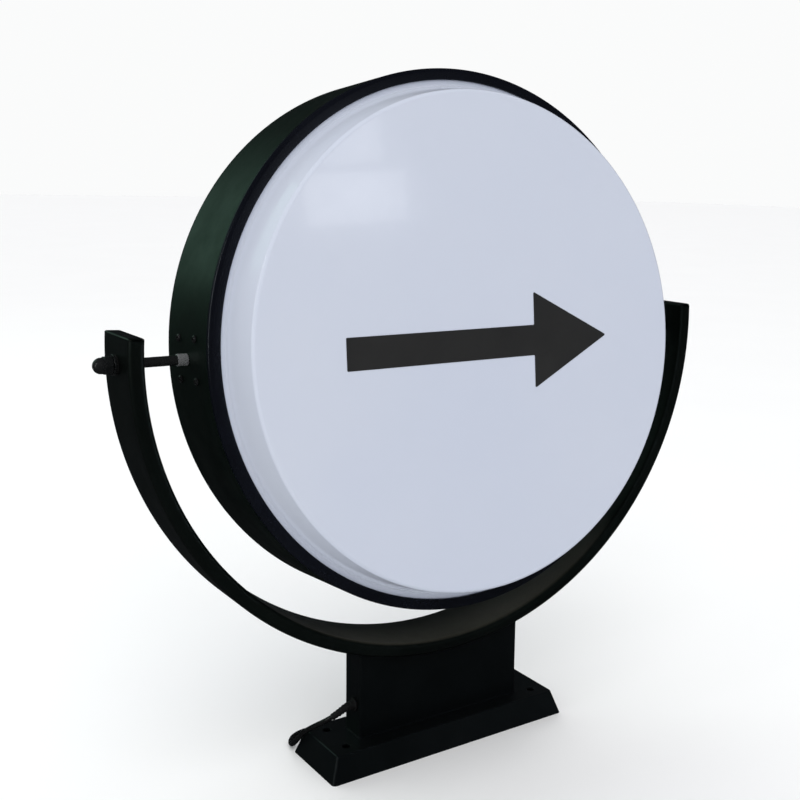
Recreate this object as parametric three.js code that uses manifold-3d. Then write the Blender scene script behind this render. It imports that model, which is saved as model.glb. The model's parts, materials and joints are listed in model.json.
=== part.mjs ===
// Double-sided round light box on a U-shaped yoke, with a post and a bolt-down base.
// Millimetres, +Z up. The origin is the middle of the base's underside.
// +X is to the right and -Y is the front. The drum tilts about an axle along X.

import * as THREE from 'three';
import { mergeVertices } from 'three/addons/utils/BufferGeometryUtils.js';
import Module from 'manifold-3d';

const wasm = await Module();
wasm.setup();

// ---- Driving dimensions ----

const GAP = 0.3; // running or seating gap between neighbouring solids

const DRUM_RADIUS = 300;
const DRUM_DEPTH = 110;
const DRUM_LEAN_DEG = -5; // the drum leans back a little at rest
const RIM_WALL = 1.5;
const BEZEL_WIDTH = 13;
const BEZEL_THICKNESS = 2;
const BEZEL_SKIRT = 5; // how far the bezel's outer edge wraps back along the rim
const BEZEL_EDGE_RADIUS = 3.5;
const BEZEL_LIP_DEPTH = 12;
const BEZEL_LIP_WALL = 1.8;

const FACE_THICKNESS = 3;
const FACE_RISE = 40; // from the bezel's front to the raised panel
const FACE_WALL_FOOT_RADIUS = 281;
const FACE_WALL_TOP_RADIUS = 272;
const FACE_FOOT_FILLET = 5;
const FACE_CREST_RADIUS = 8;

const AXLE_HEIGHT = 481;
const YOKE_CENTRE_HEIGHT = 489;
const YOKE_OUTER_RADIUS = 371;
const YOKE_INNER_RADIUS = 355;
const YOKE_WIDTH = 78;
const YOKE_WALL = 2;
const YOKE_END_RISE = 30; // the arms' tips above the axle
const END_CAP_THICKNESS = 1.5;

const BASE_TOP = [304, 82];
const BASE_FOOT = [324, 98];
const BASE_HEIGHT = 29;
const BASE_WALL = 2;
const BASE_PLATE_THICKNESS = 3;
const BOLT_SPACING = [264, 46];
const BOLT_HOLE_RADIUS = 4.5;

const POST_SIZE = [222, 35];
const POST_WALL = 2;
const RELIEF_NECK_RADIUS = 6; // the strain relief's part inside the post's wall

const ROD_RADIUS = 5; // M10 hollow rod
const ROD_BORE_RADIUS = 3.5;
const LEAD_RADIUS = 3; // 6 mm round mains lead

const CORD_EXIT = [-111, -4, 66]; // on the post's left face
const COIL_CENTRE = [70, 100];
const COIL_TURN_RADIUS = 34.8;
const COIL_TURNS_ACROSS = 3;
const COIL_LAYERS = 2;

const BIG_SEGMENTS = 48;
const ROUND_SEGMENTS = 16;
const SMALL_SEGMENTS = 10;

// ---- Finishes ----

function finish(color, roughness, metalness) {
  return new THREE.MeshStandardMaterial({ color, roughness, metalness });
}

const satinBlack = finish(0x14191a, 0.42, 0.2);
const glossBlack = finish(0x0b0d12, 0.2, 0.1);
const opalAcrylic = finish(0xc9cfe4, 0.12, 0);
const vinyl = finish(0x282828, 0.45, 0);
const zinc = finish(0xb9bcc0, 0.3, 1);
const blackZinc = finish(0x17181a, 0.35, 0.6);
const nylon = finish(0x1a1a1a, 0.6, 0);
const blackRubber = finish(0x101010, 0.5, 0);
const aluminium = finish(0xc3c6c8, 0.4, 1);
const circuitWhite = finish(0xe8e8e2, 0.5, 0);
const driverWhite = finish(0xdadad6, 0.55, 0);
const nickel = finish(0xc9c5b8, 0.25, 1);

// ---- Solids ----

/** One closed surface from a geometry: shared vertices, no slivers, faces pointing out. */
function closed(geometry) {
  const bare = geometry.clone();
  bare.deleteAttribute('normal');
  bare.deleteAttribute('uv');
  const merged = mergeVertices(bare, 1e-4);
  const position = merged.getAttribute('position');
  const corners = merged.getIndex().array;
  const kept = [];
  const [a, b, c] = [new THREE.Vector3(), new THREE.Vector3(), new THREE.Vector3()];
  let volume = 0;
  for (let i = 0; i < corners.length; i += 3) {
    const [p, q, r] = [corners[i], corners[i + 1], corners[i + 2]];
    if (p === q || q === r || r === p) {
      continue;
    }
    kept.push([p, q, r]);
    a.fromBufferAttribute(position, p);
    b.fromBufferAttribute(position, q);
    c.fromBufferAttribute(position, r);
    volume += a.dot(b.cross(c));
  }
  const order = volume < 0 ? kept.map(([p, q, r]) => [p, r, q]) : kept;
  const result = new THREE.BufferGeometry();
  result.setAttribute('position', position);
  result.setIndex(order.flat());
  return result;
}

function toManifold(geometry) {
  const shell = closed(geometry);
  return new wasm.Manifold(new wasm.Mesh({
    numProp: 3,
    vertProperties: Float32Array.from(shell.getAttribute('position').array),
    triVerts: Uint32Array.from(shell.getIndex().array),
  }));
}

function fromManifold(solid) {
  const mesh = solid.getMesh();
  const geometry = new THREE.BufferGeometry();
  geometry.setAttribute('position', new THREE.BufferAttribute(mesh.vertProperties, 3));
  geometry.setIndex(new THREE.BufferAttribute(mesh.triVerts, 1));
  return geometry;
}

function cut(geometry, ...tools) {
  const start = toManifold(geometry);
  return fromManifold(tools.reduce((solid, tool) => solid.subtract(toManifold(tool)), start));
}

function join(geometry, ...others) {
  const start = toManifold(geometry);
  return fromManifold(others.reduce((solid, other) => solid.add(toManifold(other)), start));
}

/** A box between two corners. */
function block([x0, y0, z0], [x1, y1, z1]) {
  const box = new THREE.BoxGeometry(x1 - x0, y1 - y0, z1 - z0);
  return box.translate((x0 + x1) / 2, (y0 + y1) / 2, (z0 + z1) / 2);
}

/** A turned piece round the Y axis from [radius, y] points; a ring's profile is closed. */
function turned(profile, segments) {
  const onAxis = profile[0][0] === 0;
  const loop = onAxis ? profile : [...profile, profile[0]];
  return new THREE.LatheGeometry(loop.map(([r, y]) => new THREE.Vector2(r, y)), segments);
}

/** A turned piece round the X axis from [radius, x] points. */
function turnedAlongX(profile, segments = ROUND_SEGMENTS) {
  return turned(profile, segments).rotateZ(-Math.PI / 2);
}

/** A plain tube or disc round the X axis. */
function sleeve(inner, outer, x0, x1, segments = ROUND_SEGMENTS) {
  return turnedAlongX([[inner, x0], [outer, x0], [outer, x1], [inner, x1]], segments);
}

function rod(radius, x0, x1, segments = ROUND_SEGMENTS) {
  return turnedAlongX([[0, x0], [radius, x0], [radius, x1], [0, x1]], segments);
}

/** A hexagonal prism round the X axis, with its size given across the flats. */
function hexagon(acrossFlats, x0, x1) {
  return rod(acrossFlats / Math.sqrt(3), x0, x1, 6);
}

/** A shape drawn in (x, z), thickened along y from y0 to y1. */
function slab(shape, y0, y1, curveSegments = 12) {
  const flat = new THREE.ExtrudeGeometry(shape, {
    depth: y1 - y0,
    bevelEnabled: false,
    curveSegments,
  });
  return flat.rotateX(Math.PI / 2).translate(0, y1, 0);
}

/** The part of a ring between two angles, drawn in (x, z). */
function ringSector(inner, outer, from, to) {
  const shape = new THREE.Shape();
  shape.absarc(0, 0, outer, from, to, false);
  shape.absarc(0, 0, inner, to, from, true);
  shape.closePath();
  return shape;
}

/** A round cable along a smooth curve through points. */
function cable(points, radius, sides, steps) {
  const section = new THREE.Shape();
  for (let i = 0; i < sides; i += 1) {
    const angle = (2 * Math.PI * i) / sides;
    section[i ? 'lineTo' : 'moveTo'](radius * Math.cos(angle), radius * Math.sin(angle));
  }
  section.closePath();
  const path = new THREE.CatmullRomCurve3(points.map((p) => new THREE.Vector3(...p)), false, 'centripetal');
  return new THREE.ExtrudeGeometry(section, { steps, bevelEnabled: false, extrudePath: path });
}

function add(group, name, geometry, material) {
  const mesh = new THREE.Mesh(closed(geometry), material);
  mesh.name = name;
  group.add(mesh);
  return mesh;
}

// ---- Stand: base, post and yoke ----

/** A block whose sides slope from its foot to its smaller top, both at z0 and z1. */
function slopedBlock(foot, top, z0, z1) {
  const shape = new THREE.BoxGeometry(1, 1, z1 - z0).translate(0, 0, (z0 + z1) / 2);
  const position = shape.getAttribute('position');
  for (let i = 0; i < position.count; i += 1) {
    const size = position.getZ(i) > (z0 + z1) / 2 ? top : foot;
    position.setX(i, position.getX(i) * size[0]);
    position.setY(i, position.getY(i) * size[1]);
  }
  return shape;
}

function boltHoles(z0, z1) {
  const holes = [];
  for (const x of [-BOLT_SPACING[0] / 2, BOLT_SPACING[0] / 2]) {
    for (const y of [-BOLT_SPACING[1] / 2, BOLT_SPACING[1] / 2]) {
      const hole = new THREE.CylinderGeometry(BOLT_HOLE_RADIUS, BOLT_HOLE_RADIUS, z1 - z0, ROUND_SEGMENTS);
      holes.push(hole.rotateX(Math.PI / 2).translate(x, y, (z0 + z1) / 2));
    }
  }
  return holes;
}

function baseSizeAt(z) {
  return BASE_FOOT.map((foot, k) => foot + ((BASE_TOP[k] - foot) * z) / BASE_HEIGHT);
}

function addBase(group) {
  const roof = BASE_HEIGHT - BASE_WALL;
  const shrink = (size, wall) => size.map((length) => length - 2 * wall);
  const hollow = slopedBlock(
    shrink(baseSizeAt(-1), BASE_WALL),
    shrink(baseSizeAt(roof), BASE_WALL),
    -1,
    roof,
  );
  const outside = slopedBlock(BASE_FOOT, BASE_TOP, 0, BASE_HEIGHT);
  const shell = cut(outside, hollow, ...boltHoles(roof - 1, BASE_HEIGHT + 1));
  add(group, 'base_cover', shell, satinBlack);

  const inset = BASE_WALL + GAP;
  const plate = slopedBlock(
    shrink(baseSizeAt(0), inset),
    shrink(baseSizeAt(BASE_PLATE_THICKNESS), inset),
    0,
    BASE_PLATE_THICKNESS,
  );
  add(group, 'base_plate', cut(plate, ...boltHoles(-1, BASE_PLATE_THICKNESS + 1)), satinBlack);
}

function addPost(group) {
  const [width, depth] = POST_SIZE;
  const foot = BASE_HEIGHT + GAP;
  const head = YOKE_CENTRE_HEIGHT - YOKE_INNER_RADIUS;
  const outside = block([-width / 2, -depth / 2, foot], [width / 2, depth / 2, head]);
  const hollow = block(
    [-width / 2 + POST_WALL, -depth / 2 + POST_WALL, foot - 1],
    [width / 2 - POST_WALL, depth / 2 - POST_WALL, head + 1],
  );
  const saddleRadius = YOKE_OUTER_RADIUS + GAP;
  const saddle = new THREE.CylinderGeometry(saddleRadius, saddleRadius, depth + 2, 2 * BIG_SEGMENTS);
  const [, exitY, exitZ] = CORD_EXIT;
  const exitHole = rod(RELIEF_NECK_RADIUS + GAP, -width / 2 - 1, -width / 2 + POST_WALL + 1);
  exitHole.translate(0, exitY, exitZ);
  add(group, 'post', cut(outside, hollow, saddle.translate(0, 0, YOKE_CENTRE_HEIGHT), exitHole), satinBlack);
}

const BUSH_HOLE_RADIUS = 7.3;
const AXLE_DROP = YOKE_CENTRE_HEIGHT - AXLE_HEIGHT;
const TIP_HEIGHT = YOKE_END_RISE + AXLE_HEIGHT - YOKE_CENTRE_HEIGHT;
const YOKE_END_ANGLE = Math.asin((TIP_HEIGHT - END_CAP_THICKNESS - GAP) / YOKE_OUTER_RADIUS);
const YOKE_SEGMENTS = 24;

function addYoke(group) {
  const half = YOKE_WIDTH / 2;
  const from = Math.PI - YOKE_END_ANGLE;
  const to = 2 * Math.PI + YOKE_END_ANGLE;
  const outline = ringSector(YOKE_INNER_RADIUS, YOKE_OUTER_RADIUS, from, to);
  const outside = slab(outline, -half, half, YOKE_SEGMENTS);
  const hollow = slab(
    ringSector(YOKE_INNER_RADIUS + YOKE_WALL, YOKE_OUTER_RADIUS - YOKE_WALL, from - 0.02, to + 0.02),
    -half + YOKE_WALL,
    half - YOKE_WALL,
    YOKE_SEGMENTS,
  );
  const axleHole = rod(BUSH_HOLE_RADIUS, -YOKE_OUTER_RADIUS - 5, YOKE_OUTER_RADIUS + 5);
  const leadSlot = block([30, -7, -YOKE_OUTER_RADIUS - 2], [72, 7, -YOKE_INNER_RADIUS - YOKE_WALL - 2]);
  const yoke = cut(outside, hollow, axleHole.translate(0, 0, -AXLE_DROP), leadSlot);
  add(group, 'yoke', yoke.translate(0, 0, YOKE_CENTRE_HEIGHT), satinBlack);

  for (const [side, direction] of [['left', -1], ['right', 1]]) {
    const cap = new THREE.BoxGeometry(YOKE_OUTER_RADIUS - YOKE_INNER_RADIUS, YOKE_WIDTH, END_CAP_THICKNESS);
    const middle = (YOKE_OUTER_RADIUS + YOKE_INNER_RADIUS) / 2;
    cap.translate(middle, 0, GAP + END_CAP_THICKNESS / 2).rotateY(-YOKE_END_ANGLE);
    if (direction < 0) {
      cap.rotateZ(Math.PI);
    }
    add(group, `yoke_end_cap_${side}`, cap.translate(0, 0, YOKE_CENTRE_HEIGHT), satinBlack);
  }
}

const BUSH_FLANGE_THICKNESS = 1.5;
const BUSH_FLANGE_RADIUS = 10;
const BUSH_BORE_RADIUS = ROD_RADIUS + 0.2;
const BUSH_BODY_RADIUS = BUSH_HOLE_RADIUS - GAP;
const OUTER_BUSH_SEAT = YOKE_OUTER_RADIUS + GAP;
const INNER_BUSH_SEAT = YOKE_INNER_RADIUS - 0.9; // the inner skin curves, so its seat is lower

/** A flanged bush round the X axis: its flange starts at seat and its body goes the other way. */
function flangedBush(seat, flangeEnd, bodyEnd) {
  return turnedAlongX([
    [BUSH_BORE_RADIUS, bodyEnd],
    [BUSH_BODY_RADIUS, bodyEnd],
    [BUSH_BODY_RADIUS, seat],
    [BUSH_FLANGE_RADIUS, seat],
    [BUSH_FLANGE_RADIUS, flangeEnd],
    [BUSH_BORE_RADIUS, flangeEnd],
  ]);
}

function addBushes(group) {
  for (const [side, turn] of [['left', Math.PI], ['right', 0]]) {
    const outer = flangedBush(
      OUTER_BUSH_SEAT,
      OUTER_BUSH_SEAT + BUSH_FLANGE_THICKNESS,
      YOKE_OUTER_RADIUS - YOKE_WALL - 1,
    );
    const inner = flangedBush(
      INNER_BUSH_SEAT,
      INNER_BUSH_SEAT - BUSH_FLANGE_THICKNESS,
      YOKE_INNER_RADIUS + YOKE_WALL + 1,
    );
    add(group, `bush_${side}_outer`, outer.rotateZ(turn).translate(0, 0, AXLE_HEIGHT), nylon);
    add(group, `bush_${side}_inner`, inner.rotateZ(turn).translate(0, 0, AXLE_HEIGHT), nylon);
  }
}

// ---- Mains lead ----

const CABLE_SIDES = 10;
const BOOT_RADIUS = 4.6;
const BORE_CLEARANCE = 0.72; // round the lead inside its strain relief
const RELIEF_FLANGE_RADIUS = 9.5;
const RELIEF_FLANGE_THICKNESS = 2.5;
const CORD_FLOOR = LEAD_RADIUS + 0.2;
const COIL_OUTER_RADIUS = COIL_TURN_RADIUS + COIL_TURNS_ACROSS * LEAD_RADIUS;
const COIL_INNER_RADIUS = COIL_TURN_RADIUS - COIL_TURNS_ACROSS * LEAD_RADIUS;
const COIL_HEIGHT = COIL_LAYERS * 2 * LEAD_RADIUS + 1.4; // the coil's tie lifts it a little

// From the strain relief, over the base's left edge near its back, and along the floor behind it.
const CORD_ROUTE = [
  [-109, -4, 66],
  [-116, -4, 66],
  [-122.5, -4.3, 64.9],
  [-131.3, -4.3, 61.2],
  [-139.4, -1.6, 56.2],
  [-145.6, 5, 50.2],
  [-149.8, 14, 43.5],
  [-153, 23, 36.8],
  [-157, 31, 30],
  [-160.2, 38, 21.5],
  [-161.5, 45.5, 12.8],
  [-161, 54, 6.6],
  [-158.5, 63, 3.7],
  [-152.5, 72, CORD_FLOOR],
  [-143.5, 78, CORD_FLOOR],
  [-129.5, 80.3, CORD_FLOOR],
  [-107, 74.8, CORD_FLOOR],
  [-78, 67, CORD_FLOOR],
  [-46, 62, CORD_FLOOR],
  [-15, 59.6, CORD_FLOOR],
  [15, 59.2, CORD_FLOOR],
  [47, 59.2, CORD_FLOOR],
];

function addStrainRelief(group) {
  const [faceX, y, z] = CORD_EXIT;
  const seat = faceX - GAP;
  const neckEnd = faceX + POST_WALL + 3;
  const flange = rod(RELIEF_FLANGE_RADIUS, seat - RELIEF_FLANGE_THICKNESS, seat).translate(0, y, z);
  const neck = rod(RELIEF_NECK_RADIUS, faceX - 1, neckEnd).translate(0, y, z);
  const boot = cable([[faceX - 2, y, z], ...CORD_ROUTE.slice(1, 5)], BOOT_RADIUS, CABLE_SIDES, 6);
  const boreRoute = [[neckEnd + 5, y, z], ...CORD_ROUTE.slice(0, 6)];
  const bore = cable(boreRoute, LEAD_RADIUS + BORE_CLEARANCE, 12, 18);
  add(group, 'strain_relief', cut(join(flange, neck, boot), bore), blackRubber);
}

// The plug lies on the coil. Its lead comes in from the right and its pins point left.
const PLUG_ENTRY = [81, COIL_CENTRE[1] + 28];
const PLUG_LENGTH = 36;
const PLUG_DEPTH = 14;
const PLUG_HALF_WIDTH = 13;
const PIN_RADIUS = 2;
const PIN_END = 55;
const PIN_OFFSET = 8.55;

function plugOutline() {
  const half = PLUG_HALF_WIDTH;
  const entryHalf = 5;
  const outline = new THREE.Shape();
  outline.moveTo(0, -entryHalf);
  outline.lineTo(14, -half);
  outline.lineTo(PLUG_LENGTH - 6, -half);
  outline.lineTo(PLUG_LENGTH, 4 - half);
  outline.lineTo(PLUG_LENGTH, half - 4);
  outline.lineTo(PLUG_LENGTH - 6, half);
  outline.lineTo(14, half);
  outline.lineTo(0, entryHalf);
  outline.closePath();
  return outline;
}

function addPlug(group) {
  const [x, y] = PLUG_ENTRY;
  const z = COIL_HEIGHT + GAP;
  const body = new THREE.ExtrudeGeometry(plugOutline(), { depth: PLUG_DEPTH, bevelEnabled: false });
  add(group, 'plug_body', body.rotateZ(Math.PI).translate(x, y, z), blackRubber);
  for (const [name, offset] of [['plug_pin_a', -PIN_OFFSET], ['plug_pin_b', PIN_OFFSET]]) {
    const pin = rod(PIN_RADIUS, PLUG_LENGTH + GAP, PIN_END, SMALL_SEGMENTS).rotateZ(Math.PI);
    add(group, name, pin.translate(x, y + offset, z + PLUG_DEPTH / 2), nickel);
  }
}

function addCord(group) {
  add(group, 'power_cord', cable(CORD_ROUTE, LEAD_RADIUS, CABLE_SIDES, 32), blackRubber);
  const ring = turned([
    [COIL_INNER_RADIUS, 0],
    [COIL_OUTER_RADIUS, 0],
    [COIL_OUTER_RADIUS, COIL_HEIGHT],
    [COIL_INNER_RADIUS, COIL_HEIGHT],
  ], 32);
  add(group, 'power_cord_coil', ring.rotateX(Math.PI / 2).translate(...COIL_CENTRE, 0), blackRubber);
  addPlug(group);
}

/** The lead inside the post and the yoke, up to the right-hand pivot. */
function addStandLead(group) {
  const centreRadius = (YOKE_OUTER_RADIUS + YOKE_INNER_RADIUS) / 2;
  const route = [
    [-104, -4, 66],
    [-92, -4, 66],
    [-70, -2, 69],
    [-40, 0, 80],
    [-10, 0, 93],
    [20, 0, 106],
    [48, 0, 120],
  ];
  const start = THREE.MathUtils.degToRad(-77);
  const end = THREE.MathUtils.degToRad(-2.4);
  const steps = 14;
  for (let i = 0; i <= steps; i += 1) {
    const angle = start + ((end - start) * i) / steps;
    route.push([centreRadius * Math.cos(angle), 0, YOKE_CENTRE_HEIGHT + centreRadius * Math.sin(angle)]);
  }
  add(group, 'stand_lead', cable(route, LEAD_RADIUS, 8, 40), blackRubber);
}

// ---- Drum: rim, bezels, faces and graphics, round the axle ----

const RIM_EDGE = DRUM_DEPTH / 2 - BEZEL_SKIRT - GAP;
const RIM_INNER_RADIUS = DRUM_RADIUS - RIM_WALL;
const SCREW_SPACING = 42;
const SCREW_ANGLE = Math.asin(SCREW_SPACING / 2 / DRUM_RADIUS);
const SCREW_HOLE_RADIUS = 2.4; // for an M4 screw

/** Calls place(turn, y) for each of the four screws round a pivot. */
function eachPivotScrew(place) {
  for (const turn of [-SCREW_ANGLE, SCREW_ANGLE]) {
    for (const y of [-SCREW_SPACING / 2, SCREW_SPACING / 2]) {
      place(turn, y);
    }
  }
}

/** Holes through the rim or a pivot plate, from radius x0 to x1, for the rod and its screws. */
function pivotHoles(x0, x1) {
  const holes = [rod(ROD_RADIUS + GAP, x0, x1)];
  eachPivotScrew((turn, y) => {
    holes.push(rod(SCREW_HOLE_RADIUS, x0, x1, SMALL_SEGMENTS).rotateY(turn).translate(0, y, 0));
  });
  return holes;
}

function addRim(group) {
  const band = turned([
    [RIM_INNER_RADIUS, -RIM_EDGE],
    [DRUM_RADIUS, -RIM_EDGE],
    [DRUM_RADIUS, RIM_EDGE],
    [RIM_INNER_RADIUS, RIM_EDGE],
  ], BIG_SEGMENTS);
  const right = pivotHoles(RIM_INNER_RADIUS - 5, DRUM_RADIUS + 5);
  const left = right.map((hole) => hole.clone().rotateZ(Math.PI));
  add(group, 'rim_band', cut(band, ...right, ...left), satinBlack);
}

/** A ring with a rounded outer edge, a skirt that meets the rim and a lip inside it. */
function bezelProfile() {
  const front = DRUM_DEPTH / 2;
  const back = front - BEZEL_THICKNESS;
  const skirtEnd = front - BEZEL_SKIRT;
  const lipOuter = RIM_INNER_RADIUS - GAP;
  const lipInner = lipOuter - BEZEL_LIP_WALL;
  const lipEnd = back - BEZEL_LIP_DEPTH;
  const edge = [90, 45, 0].map((degrees) => {
    const angle = THREE.MathUtils.degToRad(degrees);
    return [
      DRUM_RADIUS - BEZEL_EDGE_RADIUS * (1 - Math.cos(angle)),
      front - BEZEL_EDGE_RADIUS * (1 - Math.sin(angle)),
    ];
  });
  return [
    [DRUM_RADIUS - BEZEL_WIDTH, front],
    ...edge,
    [DRUM_RADIUS, skirtEnd],
    [lipOuter, skirtEnd],
    [lipOuter, lipEnd],
    [lipInner, lipEnd],
    [lipInner, back],
    [DRUM_RADIUS - BEZEL_WIDTH, back],
  ];
}

/** The vacuum-formed face's outer surface, or its inner one when inset by the sheet thickness. */
function facePoints(inset) {
  const flange = DRUM_DEPTH / 2 - BEZEL_THICKNESS - GAP - inset;
  const panel = DRUM_DEPTH / 2 + FACE_RISE - inset;
  const foot = FACE_WALL_FOOT_RADIUS - inset;
  const top = FACE_WALL_TOP_RADIUS - inset;
  const crestCut = FACE_CREST_RADIUS * (1 - Math.SQRT1_2);
  return [
    [foot + FACE_FOOT_FILLET, flange],
    [foot, flange + FACE_FOOT_FILLET],
    [top, panel - FACE_CREST_RADIUS],
    [top - crestCut, panel - crestCut],
    [top - FACE_CREST_RADIUS, panel],
    [0, panel],
  ];
}

function faceProfile() {
  const flangeRadius = RIM_INNER_RADIUS - 2 * GAP - BEZEL_LIP_WALL;
  const outside = facePoints(0);
  const inside = facePoints(FACE_THICKNESS);
  const front = outside[0][1];
  return [
    ...inside.reverse(),
    [flangeRadius, front - FACE_THICKNESS],
    [flangeRadius, front],
    ...outside,
  ];
}

/** A bold plain arrow that points to the right for someone who looks at the face. */
function arrowShape() {
  const [tip, neck, tail] = [-172, -66, 172];
  const [shaft, head] = [17, 54];
  const shape = new THREE.Shape();
  shape.moveTo(tip, 0);
  shape.lineTo(neck, -head);
  shape.lineTo(neck, -shaft);
  shape.lineTo(tail, -shaft);
  shape.lineTo(tail, shaft);
  shape.lineTo(neck, shaft);
  shape.lineTo(neck, head);
  shape.closePath();
  return shape;
}

const FILM_THICKNESS = 0.3;

function addFaces(group) {
  const film = DRUM_DEPTH / 2 + FACE_RISE + GAP;
  for (const [side, turn] of [['front', Math.PI], ['rear', 0]]) {
    const bezel = turned(bezelProfile(), BIG_SEGMENTS).rotateZ(turn);
    add(group, `${side}_bezel`, bezel, glossBlack);
    add(group, `${side}_face`, turned(faceProfile(), BIG_SEGMENTS).rotateZ(turn), opalAcrylic);
    const arrow = slab(arrowShape(), film, film + FILM_THICKNESS).rotateZ(turn);
    add(group, `${side}_graphic`, arrow, vinyl);
  }
}

// ---- Drum: pivots ----

const PIVOT_PLATE_OUTER = RIM_INNER_RADIUS - 0.8;
const PIVOT_PLATE_INNER = PIVOT_PLATE_OUTER - 3;
const PIVOT_PLATE_SPAN = 60;
const COLLAR_LENGTH = 11;
const COLLAR_RADIUS = 6.2;
const NUT_ACROSS_FLATS = 17;
const NUT_LENGTH = 8;
const WASHER_THICKNESS = 2;
const WASHER_RADIUS = 10.5;
const CAP_NUT_LENGTH = 18;
const CAP_NUT_DOME_RADIUS = 8;
const CAP_NUT_BORE_DEPTH = 13;
const ROD_START = 284; // the rod's inner end, past the inner nut
const WASHER_SEAT = OUTER_BUSH_SEAT + BUSH_FLANGE_THICKNESS + GAP;
const CAP_NUT_SEAT = WASHER_SEAT + WASHER_THICKNESS + GAP;

/** An M4 screw along +X, with its pan head on the rim. */
function panHeadScrew() {
  const seat = DRUM_RADIUS + GAP;
  const [shankRadius, shankEnd] = [2, seat - 12];
  const [headRadius, headTop] = [4, seat + 2.5];
  return turnedAlongX([
    [0, shankEnd],
    [shankRadius, shankEnd],
    [shankRadius, seat],
    [headRadius, seat],
    [0.9 * headRadius, seat + 1.6],
    [0.55 * headRadius, headTop],
    [0, headTop],
  ], SMALL_SEGMENTS);
}

function capNut() {
  const end = CAP_NUT_SEAT + CAP_NUT_LENGTH;
  const domeStart = end - CAP_NUT_DOME_RADIUS;
  const arc = [0, 22.5, 45, 67.5].map((degrees) => {
    const angle = THREE.MathUtils.degToRad(degrees);
    return [CAP_NUT_DOME_RADIUS * Math.cos(angle), domeStart + CAP_NUT_DOME_RADIUS * Math.sin(angle)];
  });
  const domeFoot = CAP_NUT_SEAT + 2;
  const dome = turnedAlongX([[0, domeFoot], [CAP_NUT_DOME_RADIUS, domeFoot], ...arc, [0, end]]);
  const bore = rod(ROD_RADIUS + GAP, CAP_NUT_SEAT - 1, CAP_NUT_SEAT + CAP_NUT_BORE_DEPTH);
  return cut(join(hexagon(NUT_ACROSS_FLATS, CAP_NUT_SEAT, CAP_NUT_SEAT + NUT_LENGTH), dome), bore);
}

function pivotPlate() {
  const halfAngle = PIVOT_PLATE_SPAN / 2 / DRUM_RADIUS;
  const half = PIVOT_PLATE_SPAN / 2;
  const plate = slab(ringSector(PIVOT_PLATE_INNER, PIVOT_PLATE_OUTER, -halfAngle, halfAngle), -half, half, 6);
  return cut(plate, ...pivotHoles(PIVOT_PLATE_INNER - 5, PIVOT_PLATE_OUTER + 5));
}

/** The hollow rod, with a slot inside the arm where the lead goes in. */
function pivotRod(slotted) {
  const tube = sleeve(ROD_BORE_RADIUS, ROD_RADIUS, ROD_START, CAP_NUT_SEAT + CAP_NUT_BORE_DEPTH - 1);
  const slotStart = YOKE_INNER_RADIUS + YOKE_WALL + 2;
  const slotHalfWidth = LEAD_RADIUS + 0.2;
  const slot = block([slotStart, -slotHalfWidth, -ROD_RADIUS - 1], [slotStart + 8, slotHalfWidth, 0]);
  return slotted ? cut(tube, slot) : tube;
}

function addPivots(group) {
  const nutEnd = PIVOT_PLATE_INNER - GAP;
  const collarStart = DRUM_RADIUS + GAP;
  for (const [side, turn] of [['left', Math.PI], ['right', 0]]) {
    const place = (name, geometry, material) => {
      add(group, `${name}_${side}`, geometry.rotateZ(turn), material);
    };
    place('pivot_plate', pivotPlate(), zinc);
    place('pivot_rod', pivotRod(side === 'right'), blackZinc);
    const collar = sleeve(ROD_RADIUS + GAP, COLLAR_RADIUS, collarStart, collarStart + COLLAR_LENGTH);
    place('pivot_collar', collar, zinc);
    const nutBore = rod(ROD_RADIUS + GAP, nutEnd - NUT_LENGTH - 1, nutEnd + 1);
    place('inner_nut', cut(hexagon(NUT_ACROSS_FLATS, nutEnd - NUT_LENGTH, nutEnd), nutBore), zinc);
    const washerEnd = WASHER_SEAT + WASHER_THICKNESS;
    place('arm_washer', sleeve(ROD_RADIUS + GAP, WASHER_RADIUS, WASHER_SEAT, washerEnd), blackZinc);
    place('cap_nut', capNut(), blackZinc);
    let number = 1;
    eachPivotScrew((angle, y) => {
      const screw = panHeadScrew().rotateY(angle).translate(0, y, 0);
      place(`pivot_screw_${number}`, screw, blackZinc);
      number += 1;
    });
  }
}

// ---- Drum: light engine ----

const TRAY_RADIUS = 284;
const TRAY_THICKNESS = 1;
const TRAY_FACE = 13.9; // from the drum's middle plane to a tray's inner face
const STRIP_WIDTH = 18;
const STRIP_HEIGHTS = [-150, 0, 150];
const BOARD_THICKNESS = 1.5;
const LENS_PITCH = 100;
const LENS_FOOT_RADIUS = 7;
const LENS_TOP_RADIUS = 4;
const LENS_HEIGHT = 5;
const DRIVER_SIZE = [140, 22.6, 40];
const DRIVER_FOOT = -252; // the driver's lowest point, below the axle

function bracketShape() {
  const [inner, outer] = [276, 296];
  const half = TRAY_FACE - GAP;
  const wall = 1.5;
  const shape = new THREE.Shape();
  shape.moveTo(inner, -half);
  shape.lineTo(outer, -half);
  shape.lineTo(outer, half);
  shape.lineTo(inner, half);
  shape.lineTo(inner, half - wall);
  shape.lineTo(outer - wall, half - wall);
  shape.lineTo(outer - wall, -half + wall);
  shape.lineTo(inner, -half + wall);
  shape.closePath();
  return shape;
}

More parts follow.
